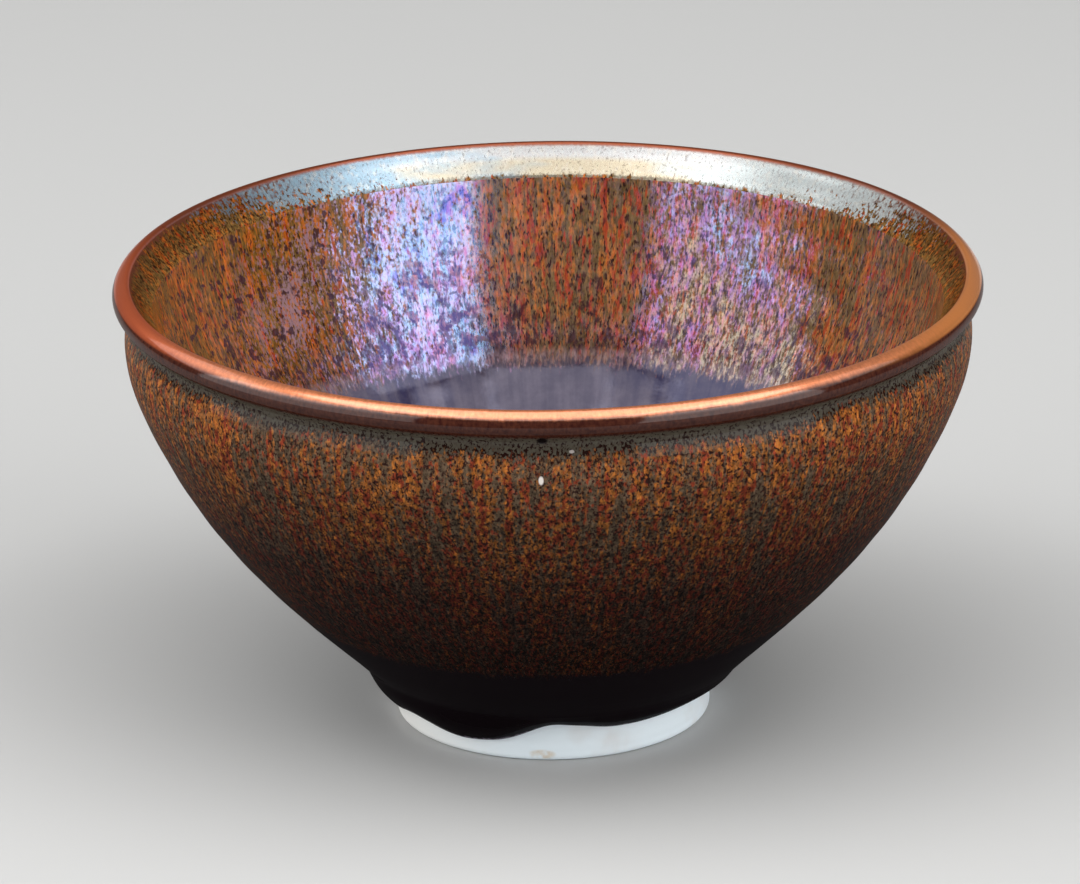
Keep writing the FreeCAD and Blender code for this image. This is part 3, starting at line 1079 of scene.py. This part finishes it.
def make_floor():
    """Flat square of pale card under the foot."""
    corners = [(x * FLOOR_HALF, y * FLOOR_HALF, 0) for x, y in ((-1, -1), (1, -1), (1, 1), (-1, 1))]
    mesh = bpy.data.meshes.new("floor")
    mesh.from_pydata(corners, [], [(0, 1, 2, 3)])
    floor = bpy.data.objects.new("floor", mesh)
    bpy.context.scene.collection.objects.link(floor)
    material, _, _ = new_material(
        "pale_card", Base_Color=(0.52, 0.52, 0.514, 1.0), Roughness=0.9, Specular_IOR_Level=0.1
    )
    mesh.materials.append(material)
    floor.location.z = -FLOOR_DROP


def make_lamp(name, turn_from_front, lift, distance, wide, high, radiance, roll, upright):
    """Rectangular lamp that faces the bowl, or faces level towards its axis if upright.

    Its power is radiance times pi times its area.
    """
    light = bpy.data.lights.new(name, "AREA")
    light.shape = "RECTANGLE"
    light.size, light.size_y = wide, high
    light.energy = radiance * np.pi * wide * high
    lamp = bpy.data.objects.new(name, light)
    angle, rise = np.radians(turn_from_front), np.radians(lift)
    level_way = Vector((np.sin(angle), -np.cos(angle), 0))
    away = level_way * np.cos(rise) + Vector((0, 0, np.sin(rise)))
    facing = (level_way if upright else away).to_track_quat("Z", "Y")
    lamp.rotation_mode = "QUATERNION"
    lamp.rotation_quaternion = facing @ Matrix.Rotation(np.radians(roll), 3, "Z").to_quaternion()
    lamp.location = Vector((0, 0, AIM_HEIGHT)) + away * distance
    bpy.context.scene.collection.objects.link(lamp)


make_floor()
for name, stand in LAMPS.items():
    make_lamp(name, *stand)

world = bpy.data.worlds.new("studio")
bpy.context.scene.world = world
world.use_nodes = True
background = world.node_tree.nodes["Background"]
wire(world.node_tree, background, Color=(0.12, 0.12, 0.12, 1.0), Strength=1.0)

# The camera stands 1 m off, about 22 degrees up, and is turned slightly on its own axis.
# Angles are in radians.
DISTANCE, RISE = 1.0, 0.3845101801
YAW, PITCH, TILT = -0.0015062590, 0.3474112953, 0.0145013960
FOCUS_PIXELS, FRAME_PIXELS, SENSOR = 6992.3842, 1080, 36.0
forward = Vector((np.sin(YAW) * np.cos(PITCH), np.cos(YAW) * np.cos(PITCH), -np.sin(PITCH)))
level = Vector((np.cos(YAW), -np.sin(YAW), 0))
upward = level.cross(forward)
tilted_right = level * np.cos(TILT) - upward * np.sin(TILT)
tilted_up = upward * np.cos(TILT) + level * np.sin(TILT)
camera_data = bpy.data.cameras.new("camera")
camera_data.sensor_width = SENSOR
camera_data.lens = FOCUS_PIXELS / FRAME_PIXELS * SENSOR
camera_data.clip_start, camera_data.clip_end = 0.05, 20.0
camera = bpy.data.objects.new("camera", camera_data)
bpy.context.scene.collection.objects.link(camera)
stand = Matrix((tilted_right, tilted_up, -forward)).transposed().to_4x4()
stand.translation = Vector((0, -DISTANCE * np.cos(RISE), DISTANCE * np.sin(RISE)))
camera.matrix_world = stand
bpy.context.scene.camera = camera
bpy.context.scene.view_settings.view_transform = "Standard"
